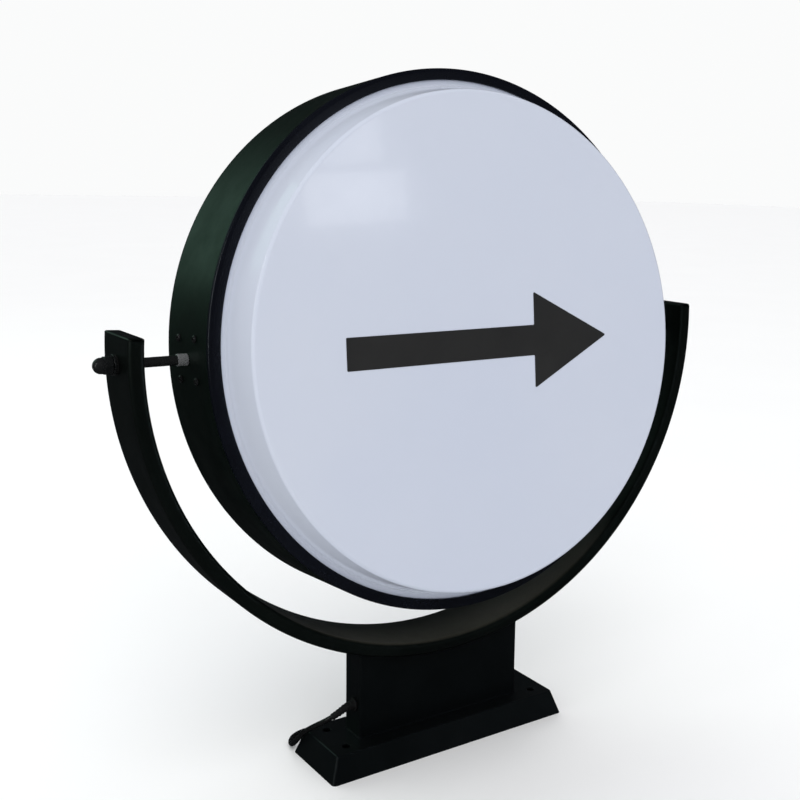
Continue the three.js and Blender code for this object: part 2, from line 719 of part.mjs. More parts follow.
function addTrays(group) {
  const bracketLength = 30;
  for (let i = 0; i < 4; i += 1) {
    const bracket = new THREE.ExtrudeGeometry(bracketShape(), { depth: bracketLength, bevelEnabled: false });
    bracket.translate(0, 0, -bracketLength / 2).rotateY(Math.PI / 4 + (i * Math.PI) / 2);
    add(group, `tray_bracket_${i + 1}`, bracket, zinc);
  }
  for (const [side, turn] of [['front', Math.PI], ['rear', 0]]) {
    const tray = turned([
      [0, TRAY_FACE],
      [TRAY_RADIUS, TRAY_FACE],
      [TRAY_RADIUS, TRAY_FACE + TRAY_THICKNESS],
      [0, TRAY_FACE + TRAY_THICKNESS],
    ], BIG_SEGMENTS);
    add(group, `${side}_led_tray`, tray.rotateZ(turn), aluminium);
  }
}

/** A strip of LEDs under lenses; the middle one is longer because the drum is wider there. */
function ledStrip(height) {
  const seat = TRAY_FACE + TRAY_THICKNESS + GAP;
  const count = height === 0 ? 5 : 4;
  const half = (count * LENS_PITCH) / 2;
  const board = block([-half, seat, -STRIP_WIDTH / 2], [half, seat + BOARD_THICKNESS, STRIP_WIDTH / 2]);
  const lenses = [];
  for (let i = 0; i < count; i += 1) {
    const lens = new THREE.CylinderGeometry(LENS_TOP_RADIUS, LENS_FOOT_RADIUS, LENS_HEIGHT, 8);
    const middle = seat + BOARD_THICKNESS - 0.5 + LENS_HEIGHT / 2;
    lenses.push(lens.translate((i + 0.5) * LENS_PITCH - half, middle, 0));
  }
  return join(board, ...lenses).translate(0, 0, height);
}

function addLights(group) {
  for (const [side, turn] of [['front', Math.PI], ['rear', 0]]) {
    STRIP_HEIGHTS.forEach((height, i) => {
      add(group, `${side}_led_strip_${i + 1}`, ledStrip(height).rotateZ(turn), circuitWhite);
    });
  }
  const [length, depth, height] = DRIVER_SIZE;
  const back = GAP - TRAY_FACE;
  const driver = block([-length / 2, back, DRIVER_FOOT], [length / 2, back + depth, DRIVER_FOOT + height]);
  add(group, 'led_driver', driver, driverWhite);
  const lead = [
    [364, 0, 0],
    [330, 0, 0],
    [290, 0, 0],
    [262, 0, -2],
    [238, 0, -18],
    [216, 0, -50],
    [196, 0, -95],
    [174, 0, -145],
    [146, 0, -190],
    [112, 0, -222],
    [86, 0, -231],
    [70.6, 0, -232],
  ];
  add(group, 'drum_lead', cable(lead, LEAD_RADIUS, 8, 26), blackRubber);
}

// ---- The whole sign ----

const sign = new THREE.Group();

const stand = new THREE.Group();
addBase(stand);
addPost(stand);
addYoke(stand);
addBushes(stand);
addStrainRelief(stand);
addCord(stand);
addStandLead(stand);
sign.add(stand);

const drum = new THREE.Group();
addRim(drum);
addFaces(drum);
addPivots(drum);
addTrays(drum);
addLights(drum);
drum.position.set(0, 0, AXLE_HEIGHT);
drum.rotation.x = THREE.MathUtils.degToRad(DRUM_LEAN_DEG);
sign.add(drum);

export default sign;
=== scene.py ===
"""Looks for a double-sided round light box on a tilting yoke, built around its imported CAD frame."""

import json
import math

import bmesh
import bpy
from mathutils import Matrix, Vector


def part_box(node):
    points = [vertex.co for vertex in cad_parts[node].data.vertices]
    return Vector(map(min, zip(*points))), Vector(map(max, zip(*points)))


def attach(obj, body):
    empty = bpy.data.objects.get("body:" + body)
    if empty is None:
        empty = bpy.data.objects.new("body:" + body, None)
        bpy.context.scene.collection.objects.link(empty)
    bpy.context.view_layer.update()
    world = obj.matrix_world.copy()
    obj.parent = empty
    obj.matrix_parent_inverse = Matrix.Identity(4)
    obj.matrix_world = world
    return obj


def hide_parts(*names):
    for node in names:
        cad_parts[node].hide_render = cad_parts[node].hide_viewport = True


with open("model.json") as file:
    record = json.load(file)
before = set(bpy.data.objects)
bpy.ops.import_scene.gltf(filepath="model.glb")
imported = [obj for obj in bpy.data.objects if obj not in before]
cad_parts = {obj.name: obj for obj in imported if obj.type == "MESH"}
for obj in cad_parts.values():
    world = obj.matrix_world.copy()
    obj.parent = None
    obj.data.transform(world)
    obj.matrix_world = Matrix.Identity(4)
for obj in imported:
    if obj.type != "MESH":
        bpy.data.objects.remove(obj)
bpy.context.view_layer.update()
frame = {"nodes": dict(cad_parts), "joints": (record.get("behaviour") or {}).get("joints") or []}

# ---- Places and sizes, from the frame ----

LEAN = math.radians(-5)
AXLE = Vector(frame["joints"][0]["pos_m"])
DRUM_PLACE = Matrix.Translation(AXLE) @ Matrix.Rotation(LEAN, 4, "X")
STILL = Matrix.Identity(4)
ALONG_X = Matrix.Rotation(-math.pi / 2, 4, "Z")  # turns a piece made round Y to lie round X
SIDES = {"left": Matrix.Rotation(math.pi, 4, "Z"), "right": STILL}
FACINGS = {"front": STILL, "rear": Matrix.Rotation(math.pi, 4, "Z")}


def drum_box(node):
    """The lowest and highest corners of a CAD node in the drum's own upright frame."""
    to_drum = DRUM_PLACE.inverted()
    points = [to_drum @ v.co for v in frame["nodes"][node].data.vertices]
    return [Vector([pick(p[k] for p in points) for k in range(3)]) for pick in (min, max)]


# ---- Camera ----

CAMERA_PLACE = Vector((-0.7173, -1.0856, 0.6653))
CAMERA_YAW = math.radians(36.59)
CAMERA_PITCH = math.radians(-8.99)
CAMERA_ROLL = math.radians(1.39)
CAMERA_LENS = 51.18
CAMERA_SHIFT = (-0.125, -0.05)


def add_camera():
    forward = Vector((
        math.sin(CAMERA_YAW) * math.cos(CAMERA_PITCH),
        math.cos(CAMERA_YAW) * math.cos(CAMERA_PITCH),
        math.sin(CAMERA_PITCH),
    ))
    level = Vector((math.cos(CAMERA_YAW), -math.sin(CAMERA_YAW), 0))
    roll = Matrix.Rotation(-CAMERA_ROLL, 3, forward)
    right = roll @ level
    up = roll @ level.cross(forward)
    data = bpy.data.cameras.new("camera")
    data.lens = CAMERA_LENS
    data.shift_x, data.shift_y = CAMERA_SHIFT
    camera = bpy.data.objects.new("camera", data)
    turn = Matrix((right, up, -forward)).transposed().to_4x4()
    camera.matrix_world = Matrix.Translation(CAMERA_PLACE) @ turn
    bpy.context.scene.collection.objects.link(camera)
    bpy.context.scene.camera = camera


add_camera()

# ---- Making pieces ----


def rounded(corners, steps=4, closed=True):
    """An outline through corners (u, v, radius), each rounded by an arc of its radius."""
    outline = []
    for i, (u, v, radius) in enumerate(corners):
        if radius == 0 or (not closed and i in (0, len(corners) - 1)):
            outline.append((u, v))
            continue
        corner = Vector((u, v))
        back = (Vector(corners[i - 1][:2]) - corner).normalized()
        ahead = (Vector(corners[(i + 1) % len(corners)][:2]) - corner).normalized()
        half = back.angle(ahead) / 2
        centre = corner + (back + ahead).normalized() * (radius / math.sin(half))
        reach = radius / math.tan(half)
        first = corner + back * reach - centre
        last = corner + ahead * reach - centre
        start = math.atan2(first.y, first.x)
        sweep_by = (math.atan2(last.y, last.x) - start + math.pi) % (2 * math.pi) - math.pi
        for k in range(steps + 1):
            angle = start + sweep_by * k / steps
            outline.append((centre.x + radius * math.cos(angle), centre.y + radius * math.sin(angle)))
    return outline


def skin(loops, joined=False, capped=False):
    """A surface through closed loops of points; a loop of one point is a pole."""
    bm = bmesh.new()
    rings = [[bm.verts.new(p) for p in loop] for loop in loops]
    following = rings[1:] + (rings[:1] if joined else [])
    count = max(len(ring) for ring in rings)
    for ring, after in zip(rings, following):
        for i in range(count):
            j = (i + 1) % count
            corners = [ring[i % len(ring)], ring[j % len(ring)]]
            corners += [after[j % len(after)], after[i % len(after)]]
            distinct = list(dict.fromkeys(corners))
            if len(distinct) > 2:
                bm.faces.new(distinct)
    if capped:
        bm.faces.new(rings[0])
        bm.faces.new(rings[-1])
    bmesh.ops.recalc_face_normals(bm, faces=bm.faces)
    return bm


def turned(profile, segments, ring=False):
    """A piece turned round the Y axis from (radius, y) points; a ring's profile is closed."""
    loops = []
    for radius, y in profile:
        if radius < 1e-6:
            loops.append([Vector((0, y, 0))])
            continue
        angles = [2 * math.pi * i / segments for i in range(segments)]
        loops.append([Vector((radius * math.cos(a), y, radius * math.sin(a))) for a in angles])
    return skin(loops, joined=ring)


def rod(radius, y0, y1, segments):
    """A plain round rod along Y."""
    return turned([(0, y0), (radius, y0), (radius, y1), (0, y1)], segments)


def prism(outline, y0, y1, edge=0.0, steps=2):
    """An outline in (x, z) thickened along Y, with its rims rounded by edge."""
    bm = bmesh.new()
    loops = [[bm.verts.new((x, y, z)) for x, z in outline] for y in (y0, y1)]
    for i in range(len(outline)):
        j = (i + 1) % len(outline)
        bm.faces.new((loops[0][i], loops[0][j], loops[1][j], loops[1][i]))
    caps = [bm.faces.new(loop) for loop in loops]
    bmesh.ops.recalc_face_normals(bm, faces=bm.faces)
    if edge:
        rims = list({e for cap in caps for e in cap.edges})
        bmesh.ops.bevel(bm, geom=rims, offset=edge, segments=steps, profile=0.5, affect="EDGES")
    return bm


def merged(*parts):
    """Several bmeshes as one, each kept as its own shell."""
    bm = parts[0]
    for part in parts[1:]:
        spare = bpy.data.meshes.new("spare")
        part.to_mesh(spare)
        part.free()
        bm.from_mesh(spare)
        bpy.data.meshes.remove(spare)
    return bm


def moved(bm, matrix):
    bm.transform(matrix)
    return bm


def as_mesh(name, bm):
    mesh = bpy.data.meshes.new(name)
    bm.to_mesh(mesh)
    bm.free()
    return mesh


def reopened(mesh):
    """A mesh as a bmesh again."""
    bm = bmesh.new()
    bm.from_mesh(mesh)
    bpy.data.meshes.remove(mesh)
    return bm


def combined(name, operation, body, *tools):
    """The first bmesh cut by the others, or joined with them, as a mesh."""
    target = bpy.data.objects.new(name, as_mesh(name, body))
    bpy.context.scene.collection.objects.link(target)
    helpers = []
    for tool in tools:
        helper = bpy.data.objects.new("helper", as_mesh("helper", tool))
        bpy.context.scene.collection.objects.link(helper)
        step = target.modifiers.new("step", "BOOLEAN")
        step.operation = operation
        step.solver = "EXACT"
        step.object = helper
        helpers.append(helper)
    evaluated = target.evaluated_get(bpy.context.evaluated_depsgraph_get())
    mesh = bpy.data.meshes.new_from_object(evaluated)
    for spare in [target, *helpers]:
        data = spare.data
        bpy.data.objects.remove(spare)
        bpy.data.meshes.remove(data)
    mesh.name = name
    return mesh


def piece(name, shape, material, body, stands_for=(), place=STILL, sharp=32):
    """A finished piece: smooth but for edges sharper than some degrees, on its body."""
    mesh = shape if isinstance(shape, bpy.types.Mesh) else as_mesh(name, shape)
    mesh.name = name
    mesh.transform(place)
    for polygon in mesh.polygons:
        polygon.use_smooth = True
        polygon.material_index = 0
    mesh.set_sharp_from_angle(angle=math.radians(sharp))
    mesh.materials.clear()
    mesh.materials.append(material)
    thing = bpy.data.objects.new(name, mesh)
    bpy.context.scene.collection.objects.link(thing)
    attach(thing, body)
    if stands_for:
        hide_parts(*stands_for)
    even = thing.modifiers.new("even_shading", "WEIGHTED_NORMAL")
    even.keep_sharp = True
    return thing


def tube(points, radii, sides, joined=False):
    """A round skin along a line of points, with a radius at each."""
    count = len(points)
    loops = []
    across = None
    for i, point in enumerate(points):
        before = points[i - 1] if joined or i else point
        after = points[(i + 1) % count] if joined or i < count - 1 else point
        along = (after - before).normalized()
        if across is None:
            across = along.orthogonal().normalized()
        across = (across - along * across.dot(along)).normalized()
        up = along.cross(across)
        angles = [2 * math.pi * k / sides for k in range(sides)]
        loops.append([point + radii[i] * (math.cos(a) * across + math.sin(a) * up) for a in angles])
    return skin(loops, joined=joined, capped=not joined)


# ---- Materials ----


class Surface:
    """A Principled material whose pattern is built node by node in the object's own space."""

    def __init__(self, name, color, roughness, metallic=0.0, **sockets):
        self.material = bpy.data.materials.new(name)
        self.material.use_nodes = True
        self.material.diffuse_color = (*color, 1)
        self.tree = self.material.node_tree
        self.shader = self.tree.nodes["Principled BSDF"]
        self.shader.inputs["Base Color"].default_value = (*color, 1)
        self.shader.inputs["Roughness"].default_value = roughness
        self.shader.inputs["Metallic"].default_value = metallic
        for socket, value in sockets.items():
            self.shader.inputs[socket.replace("_", " ")].default_value = value
        self.place = self.tree.nodes.new("ShaderNodeTexCoord").outputs["Object"]
        self.height = None

    def node(self, kind, **settings):
        made = self.tree.nodes.new(kind)
        for name, value in settings.items():
            setattr(made, name, value)
        return made

    def wire(self, source, target):
        self.tree.links.new(source, target)

    def stretched(self, scale):
        mapping = self.node("ShaderNodeMapping")
        mapping.inputs["Scale"].default_value = scale
        self.wire(self.place, mapping.inputs["Vector"])
        return mapping.outputs["Vector"]

    def noise(self, scale, detail=3.0, roughness=0.55, stretch=(1, 1, 1)):
        made = self.node("ShaderNodeTexNoise")
        made.inputs["Scale"].default_value = scale
        made.inputs["Detail"].default_value = detail
        made.inputs["Roughness"].default_value = roughness
        self.wire(self.stretched(stretch), made.inputs["Vector"])
        return made.outputs["Fac"]

    def spread(self, value, low, high, start=0.3, end=0.7):
        """value from start to end becomes low to high."""
        made = self.node("ShaderNodeMapRange")
        limits = {"From Min": start, "From Max": end, "To Min": low, "To Max": high}
        for socket, number in limits.items():
            made.inputs[socket].default_value = number
        self.wire(value, made.inputs["Value"])
        return made.outputs["Result"]

    def tint(self, value, *stops):
        """Colours at places along value, as (place, colour) stops."""
        ramp = self.node("ShaderNodeValToRGB")
        while len(ramp.color_ramp.elements) < len(stops):
            ramp.color_ramp.elements.new(0.5)
        for element, (at, color) in zip(ramp.color_ramp.elements, stops):
            element.position = at
            element.color = (*color, 1)
        self.wire(value, ramp.inputs["Fac"])
        return ramp.outputs["Color"]

    def mix(self, share, first, second):
        made = self.node("ShaderNodeMix", data_type="RGBA")
        self.wire(share, made.inputs["Factor"])
        self.wire(first, made.inputs["A"])
        self.wire(second, made.inputs["B"])
        return made.outputs["Result"]

    def product(self, first, second):
        made = self.node("ShaderNodeMath", operation="MULTIPLY")
        self.wire(first, made.inputs[0])
        self.wire(second, made.inputs[1])
        return made.outputs["Value"]

    def color(self, value):
        self.wire(value, self.shader.inputs["Base Color"])

    def rough(self, value):
        self.wire(value, self.shader.inputs["Roughness"])

    def bump(self, value, strength, distance):
        """Raises the surface by value; a second call adds to the first."""
        made = self.node("ShaderNodeBump")
        made.inputs["Strength"].default_value = strength
        made.inputs["Distance"].default_value = distance
        self.wire(value, made.inputs["Height"])
        if self.height is not None:
            self.wire(self.height, made.inputs["Normal"])
        self.height = made.outputs["Normal"]
        self.wire(self.height, self.shader.inputs["Normal"])


def powder_coat(name, deep, lit, roughness, sheen, dust_and_sheen=0.0):
    """Black powder coat: orange peel, mottling, uneven gloss, and on top towards the front a warm grey of
    dust and painted sheen, where front light falls.
    """
    s = Surface(name, deep, sum(roughness) / 2, Specular_IOR_Level=0.4, Specular_Tint=(*sheen, 1))
    mottle = s.noise(9, detail=4)
    paint = s.tint(mottle, (0.35, deep), (0.7, lit))
    smudges = s.noise(26, detail=5, roughness=0.6)
    s.rough(s.spread(smudges, *roughness))
    if dust_and_sheen:
        normal = s.node("ShaderNodeSeparateXYZ")
        s.wire(s.tree.nodes["Texture Coordinate"].outputs["Normal"], normal.inputs["Vector"])
        where = s.node("ShaderNodeSeparateXYZ")
        s.wire(s.place, where.inputs["Vector"])
        upward = s.spread(normal.outputs["Z"], 0, 1, 0.7, 0.98)
        # Painted sheen: lightest at the front edge, where light from the front reaches under the drum, and
        # fading towards the back.
        forward = s.spread(where.outputs["Y"], 1, 0.15, -0.03, 0.02)
        film = s.spread(s.noise(420, detail=4, roughness=0.7), 0.7 * dust_and_sheen, dust_and_sheen, 0.35, 0.65)
        share = s.product(s.product(upward, forward), film)
        # The warm grey of the dust and the painted sheen.
        dust_and_sheen_color = s.tint(mottle, (0.3, (0.066, 0.064, 0.051)), (0.7, (0.088, 0.085, 0.069)))
        paint = s.mix(share, paint, dust_and_sheen_color)
    s.color(paint)
    s.bump(s.noise(16, detail=2), 0.12, 0.0016)
    s.bump(s.noise(650, detail=2), 0.22, 0.00012)
    return s.material


def opal_acrylic():
    """Polished opal sheet: milky white, faintly cloudy."""
    s = Surface("opal_acrylic", (0.57, 0.61, 0.712), 0.1, Coat_Weight=0.35, Coat_Roughness=0.03)
    s.shader.inputs["IOR"].default_value = 1.49
    cloud = s.tint(s.noise(3.2, detail=3), (0.3, (0.56, 0.6, 0.707)), (0.7, (0.586, 0.622, 0.717)))
    s.color(cloud)
    s.rough(s.spread(s.noise(45, detail=5, roughness=0.65), 0.07, 0.15))
    s.bump(s.noise(5.5, detail=1), 0.1, 0.003)
    s.bump(s.noise(34, detail=2), 0.06, 0.0006)
    return s.material


def cut_film():
    """Charcoal vinyl film with a fine leathery grain."""
    s = Surface("charcoal_film", (0.02, 0.02, 0.02), 0.42)
    cloud = s.tint(s.noise(12, detail=4), (0.3, (0.019, 0.019, 0.0195)), (0.7, (0.0235, 0.0235, 0.0235)))
    s.color(cloud)
    s.rough(s.spread(s.noise(80, detail=4), 0.34, 0.5))
    s.bump(s.noise(900, detail=2), 0.3, 0.0001)
    return s.material


def plated(name, low, high, roughness, streak=(1, 1, 1), scale=140, metallic=1.0):
    """Plated or bare metal: cloudy colour, fine drawn streaks and uneven gloss."""
    s = Surface(name, low, sum(roughness) / 2, metallic=metallic)
    s.color(s.tint(s.noise(60, detail=4), (0.3, low), (0.7, high)))
    grain = s.noise(scale, detail=5, roughness=0.7, stretch=streak)
    s.rough(s.spread(grain, *roughness))
    s.bump(grain, 0.1, 0.00003)
    return s.material


def moulded(name, low, high, roughness, grain=500, depth=0.0001):
    """Moulded plastic or rubber: a fine matt grain and slightly uneven colour."""
    s = Surface(name, low, sum(roughness) / 2)
    s.color(s.tint(s.noise(40, detail=4), (0.3, low), (0.7, high)))
    s.rough(s.spread(s.noise(170, detail=4), *roughness))
    s.bump(s.noise(grain, detail=3), 0.35, depth)
    return s.material


# Each paint's deep and lit colours, its lowest and highest roughness, and the tint of its sheen.
GREEN_BLACK = ((0.0016, 0.0036, 0.0026), (0.003, 0.0062, 0.0045), (0.34, 0.46), (0.5, 1, 0.74))
PLAIN_BLACK = ((0.0016, 0.0024, 0.0022), (0.003, 0.0042, 0.0038), (0.3, 0.42), (0.8, 1, 0.9))
COOL_BLACK = ((0.0014, 0.0021, 0.0025), (0.0028, 0.0037, 0.0044), (0.34, 0.46), (0.85, 0.97, 1))
BLUE_BLACK = ((0.0026, 0.003, 0.0054), (0.0042, 0.0049, 0.0084), (0.2, 0.3), (0.85, 0.92, 1))
RIM_PAINT = powder_coat("satin_green_black_paint", *GREEN_BLACK)
SATIN = powder_coat("satin_black_paint", *PLAIN_BLACK)
# The yoke's upward faces get a strong painted sheen with a dusty grain near the front edge; the stand gets
# a faint dust and sheen.
YOKE_PAINT = powder_coat("satin_black_yoke", *PLAIN_BLACK, dust_and_sheen=0.85)
SATIN_BASE = powder_coat("satin_black_stand", *COOL_BLACK, dust_and_sheen=0.015)
GLOSS = powder_coat("gloss_black_paint", *BLUE_BLACK)
OPAL = opal_acrylic()
FILM = cut_film()
NYLON = moulded("black_nylon", (0.005, 0.005, 0.005), (0.009, 0.009, 0.009), (0.45, 0.6))
ZINC = plated(
    "bright_zinc", (0.4, 0.41, 0.42), (0.5, 0.51, 0.52), (0.2, 0.32), scale=500, metallic=0.75,
)
BLACK_STEEL = plated(
    "black_steel", (0.006, 0.0068, 0.0072), (0.014, 0.0148, 0.0152), (0.2, 0.34), metallic=0.15,
)
ALUMINIUM = plated(
    "tray_aluminium", (0.55, 0.56, 0.57), (0.68, 0.69, 0.7), (0.25, 0.42), streak=(1, 1, 14), scale=40,
)
BOARD = moulded("white_circuit_board", (0.74, 0.74, 0.7), (0.84, 0.84, 0.8), (0.3, 0.45))
DRIVER = moulded("driver_case", (0.6, 0.6, 0.58), (0.72, 0.72, 0.7), (0.35, 0.5))
SHEATH = moulded(
    "black_cable", (0.0028, 0.0029, 0.0031), (0.0055, 0.0056, 0.006), (0.2, 0.32), grain=300, depth=0.00004,
)
RUBBER = moulded("black_rubber", (0.004, 0.0041, 0.0043), (0.0075, 0.0076, 0.0078), (0.42, 0.6))
FABRIC = moulded(
    "woven_tie", (0.012, 0.012, 0.013), (0.022, 0.022, 0.023), (0.7, 0.9), grain=900, depth=0.0003,
)
NICKEL = plated("plated_pins", (0.56, 0.54, 0.49), (0.68, 0.66, 0.6), (0.12, 0.26), streak=(8, 1, 1))

# ---- Stand ----

PAST = 0.001  # how far a cutter goes past the face it cuts
STEEL_WALL = 0.002
BASE_LOW, BASE_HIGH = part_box("base_cover")
BASE_TOP = Vector((0.304, 0.082))
BASE_EDGE = 0.0022
BASE_CORNER = 0.005
PLATE_THICKNESS = 0.003
BOLT_SPACING = (0.264, 0.046)
BOLT_RADIUS = 0.0045
POST_LOW, POST_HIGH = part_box("post")
POST_CORNER = 0.0028
YOKE_CENTRE = AXLE + Vector((0, 0, 0.008))
YOKE_OUTER = 0.371
YOKE_INNER = 0.355
YOKE_HALF_WIDTH = 0.039
YOKE_EDGE = 0.006
YOKE_TIP_HEIGHT = 0.0202  # where the tubes end, above the yoke's centre
YOKE_END = math.asin(YOKE_TIP_HEIGHT / YOKE_OUTER)
END_PLATE_TOP = 0.0018  # above the tube's end
# Heights on an end plate above the tube's end, each with how far its rounded rim has drawn in.
END_PLATE_LEVELS = [
    (0.0001, 0), (0.0006, 0.0002), (0.0011, 0.0007), (0.0015, 0.0015), (END_PLATE_TOP, 0.0028),
]
TIP_CORNER = 0.008
BUSH_HOLE = 0.0073
RELIEF_HOLE = 0.0063


def rectangle(half_x, half_y, corner, steps=5):
    """A rounded rectangle as (x, y) points."""
    return rounded([
        (half_x, half_y, corner), (-half_x, half_y, corner),
        (-half_x, -half_y, corner), (half_x, -half_y, corner),
    ], steps)


def upright(bm):
    """Turns a piece made round Y to stand along Z."""
    return moved(bm, Matrix.Rotation(math.pi / 2, 4, "X"))


def sloped_block(foot, top, z0, z1, corner, edge):
    """A block with sloped sides, upright corners of one radius and a rounded top edge."""
    inset = (foot - top) / 2
    side = [(0, z0), (1, z1)]
    if edge:
        slope = rounded([(0, z0, 0), (inset.x, z1, edge), (3 * inset.x, z1, 0)], 4, closed=False)
        side = [(u / inset.x, z) for u, z in slope]
    loops = []
    for share, z in side:
        half_x = foot.x / 2 - share * inset.x
        half_y = foot.y / 2 - share * inset.y
        loops.append([Vector((x, y, z)) for x, y in rectangle(half_x, half_y, corner)])
    return skin(loops, capped=True)


def bolt_cutters(z0, z1):
    """A cutter for each bolt hole, with a small chamfer at its top end, z1."""
    chamfer = 0.0005
    profile = [
        (0, z0), (BOLT_RADIUS, z0), (BOLT_RADIUS, z1 - chamfer),
        (BOLT_RADIUS + 2 * chamfer, z1 + chamfer), (0, z1 + chamfer),
    ]
    cutters = []
    for x in (-BOLT_SPACING[0] / 2, BOLT_SPACING[0] / 2):
        for y in (-BOLT_SPACING[1] / 2, BOLT_SPACING[1] / 2):
            cutters.append(moved(upright(turned(profile, 32)), Matrix.Translation((x, y, 0))))
    return cutters


def add_base():
    foot = (BASE_HIGH - BASE_LOW).xy
    roof = BASE_HIGH.z - STEEL_WALL
    wall = Vector((2 * STEEL_WALL, 2 * STEEL_WALL))
    slope = (foot - BASE_TOP) / BASE_HIGH.z
    outside = sloped_block(foot, BASE_TOP, 0, BASE_HIGH.z, BASE_CORNER, BASE_EDGE)
    hollow = sloped_block(
        foot + slope * PAST - wall, BASE_TOP + slope * STEEL_WALL - wall, -PAST, roof,
        BASE_CORNER - STEEL_WALL, 0,
    )
    cover = combined("base_cover", "DIFFERENCE", outside, hollow, *bolt_cutters(roof - PAST, BASE_HIGH.z))
    piece("base_cover_shell", cover, SATIN_BASE, "stand", ["base_cover"])
    inset = wall * 1.15  # the wall and a little clearance
    plate = sloped_block(
        foot - inset, foot - slope * PLATE_THICKNESS - inset, 0, PLATE_THICKNESS,
        BASE_CORNER - STEEL_WALL, 0,
    )
    sheet = combined("base_plate", "DIFFERENCE", plate, *bolt_cutters(-PAST, PLATE_THICKNESS))
    piece("base_bottom_plate", sheet, SATIN_BASE, "stand", ["base_plate"])


def weld_bead(outline, height):
    """A rippled bead of weld along a closed outline, whose height comes from a function of x."""
    radius, ripple, swell = 0.0011, 0.0018, 0.13
    points = [Vector((x, y, height(x))) for x, y in outline]
    dense = []
    for start, end in zip(points, points[1:] + points[:1]):
        steps = max(1, round((end - start).length / (ripple / 3)))
        for k in range(steps):
            point = start.lerp(end, k / steps)
            dense.append(Vector((point.x, point.y, height(point.x))))
    travelled = 0
    radii = []
    for here, after in zip(dense, dense[1:] + dense[:1]):
        radii.append(radius * (1 + swell * math.sin(2 * math.pi * travelled / ripple)))
        travelled += (after - here).length
    return tube(dense, radii, 8, joined=True)


def add_post():
    half_x = POST_HIGH.x
    half_y = POST_HIGH.y
    seam = 0.0003  # the gap that the CAD solids keep between the base and the post
    foot = POST_LOW.z - seam
    head = YOKE_CENTRE.z - YOKE_INNER
    solids = []
    for inset, z0, z1 in ((0, foot, head), (STEEL_WALL, foot - PAST, head + PAST)):
        outline = rectangle(half_x - inset, half_y - inset, POST_CORNER - inset)
        solids.append(skin([[Vector((x, y, z)) for x, y in outline] for z in (z0, z1)], capped=True))
    across, through = 0.03, 0.01  # how far the two cutters reach to each side
    saddle = moved(rod(YOKE_OUTER, -across, across, 512), Matrix.Translation(YOKE_CENTRE))
    relief_place = Matrix.Translation((-half_x, CORD_EXIT.y, CORD_EXIT.z))
    relief = moved(rod(RELIEF_HOLE, -through, through, 32), relief_place @ ALONG_X)
    post = combined("post", "DIFFERENCE", solids[0], solids[1], saddle, relief)
    piece("post_tube", post, SATIN_BASE, "stand", ["post"])
    outline = rectangle(half_x, half_y, POST_CORNER)
    beads = merged(
        weld_bead(outline, lambda x: BASE_HIGH.z),
        weld_bead(outline, lambda x: YOKE_CENTRE.z - math.sqrt(YOKE_OUTER ** 2 - x ** 2)),
    )
    piece("post_welds", beads, SATIN_BASE, "stand", sharp=60)


def yoke_section(inset, corner):
    """The tube's section as (radius, y) points."""
    middle = (YOKE_INNER + YOKE_OUTER) / 2
    half = (YOKE_OUTER - YOKE_INNER) / 2 - inset
    return [(middle + u, v) for u, v in rectangle(half, YOKE_HALF_WIDTH - inset, corner, 4)]


def swept_half_ring(section, overrun, steps):
    """A section of (radius, y) points swept round Y from arm to arm, through the bottom."""
    start = math.pi - YOKE_END - overrun
    end = 2 * math.pi + YOKE_END + overrun
    loops = []
    for i in range(steps + 1):
        angle = start + (end - start) * i / steps
        loops.append([Vector((r * math.cos(angle), y, r * math.sin(angle))) for r, y in section])
    return skin(loops, capped=True)


def tip_cutters(turn):
    """What is cut off an arm's tip to round its front and rear corners."""
    reach = 0.004
    outer = YOKE_HALF_WIDTH + reach
    corner = (YOKE_HALF_WIDTH, END_PLATE_TOP, TIP_CORNER)
    start = (YOKE_HALF_WIDTH, END_PLATE_TOP - TIP_CORNER - reach, 0)
    end = (YOKE_HALF_WIDTH - TIP_CORNER - reach, END_PLATE_TOP, 0)
    arc = rounded([start, corner, end], 6, closed=False)[1:-1]
    top = END_PLATE_TOP + reach
    outline = [*arc, (arc[-1][0], top), (outer, top), (outer, arc[0][1])]
    cutters = []
    for sign in (-1, 1):
        wedge = prism([(sign * u, v) for u, v in outline], -YOKE_OUTER - reach, -YOKE_INNER + reach)
        moved(wedge, turn @ Matrix.Rotation(-YOKE_END, 4, "Y") @ Matrix.Rotation(math.pi / 2, 4, "Z"))
        cutters.append(wedge)
    return cutters


